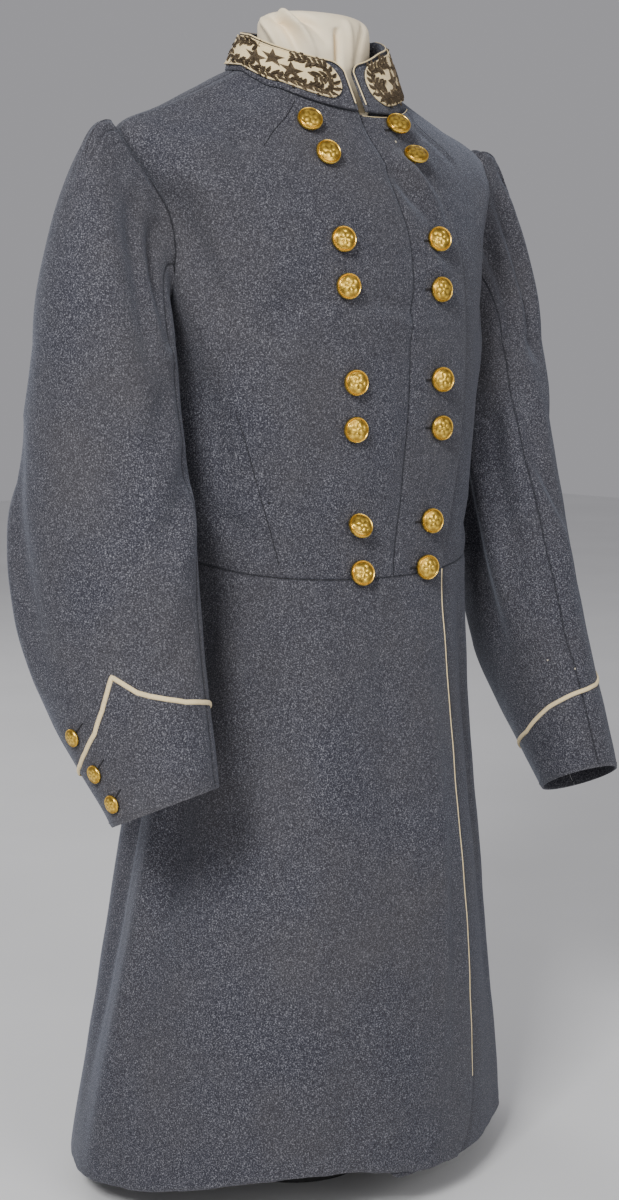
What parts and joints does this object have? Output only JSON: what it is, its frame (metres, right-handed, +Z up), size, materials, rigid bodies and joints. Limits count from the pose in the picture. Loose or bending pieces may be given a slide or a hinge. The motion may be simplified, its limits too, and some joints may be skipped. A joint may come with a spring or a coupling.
{
  "type": "frock coat on a dress form",
  "caption": "Double-breasted wool frock coat with standing collar, light piping and gilt buttons, worn by a limbless dress form on a low stand.",
  "frame": {"origin": "on the floor, under the middle of the stand's round base", "axes": "+Z up; the coat faces -Y; +X is towards the wearer's left"},
  "size_m": [0.6023, 0.3888, 1.0941],
  "materials": {
    "wool": "dark blue-grey milled wool, matte",
    "buff_trim": "cream wool cloth, matte",
    "gilt_buttons": "gilt, softly worn",
    "bullion": "tarnished metal thread",
    "form_cloth": "plain cotton, matte",
    "stand": "satin black"
  },
  "bodies": {
    "root": {"back_button_left": "gilt_buttons", "back_button_right": "gilt_buttons", "back_left": "wool", "back_right": "wool", "base": "stand", "collar": "wool", "collar_panel_left": "buff_trim", "collar_panel_right": "buff_trim", "collar_star_left_1": "bullion", "collar_star_left_2": "bullion", "collar_star_left_3": "bullion", "collar_star_right_1": "bullion", "collar_star_right_2": "bullion", "collar_star_right_3": "bullion", "cuff_button_left_1": "gilt_buttons", "cuff_button_left_2": "gilt_buttons", "cuff_button_left_3": "gilt_buttons", "cuff_button_right_1": "gilt_buttons", "cuff_button_right_2": "gilt_buttons", "cuff_button_right_3": "gilt_buttons", "cuff_piping_left": "buff_trim", "cuff_piping_right": "buff_trim", "forepart_left": "wool", "forepart_right": "wool", "form_torso": "form_cloth", "front_button_left_1": "gilt_buttons", "front_button_left_2": "gilt_buttons", "front_button_left_3": "gilt_buttons", "front_button_left_4": "gilt_buttons", "front_button_left_5": "gilt_buttons", "front_button_left_6": "gilt_buttons", "front_button_left_7": "gilt_buttons", "front_button_left_8": "gilt_buttons", "front_button_right_1": "gilt_buttons", "front_button_right_2": "gilt_buttons", "front_button_right_3": "gilt_buttons", "front_button_right_4": "gilt_buttons", "front_button_right_5": "gilt_buttons", "front_button_right_6": "gilt_buttons", "front_button_right_7": "gilt_buttons", "front_button_right_8": "gilt_buttons", "lapel_left": "wool", "lapel_piping": "buff_trim", "lapel_right": "wool", "neck_cover": "form_cloth", "pole": "stand", "side_body_left": "wool", "side_body_right": "wool", "skirt_left": "wool", "skirt_piping": "buff_trim", "skirt_right": "wool", "sleeve_top_left": "wool", "sleeve_top_right": "wool", "sleeve_under_left": "wool", "sleeve_under_right": "wool"}
  },
  "joints": []
}
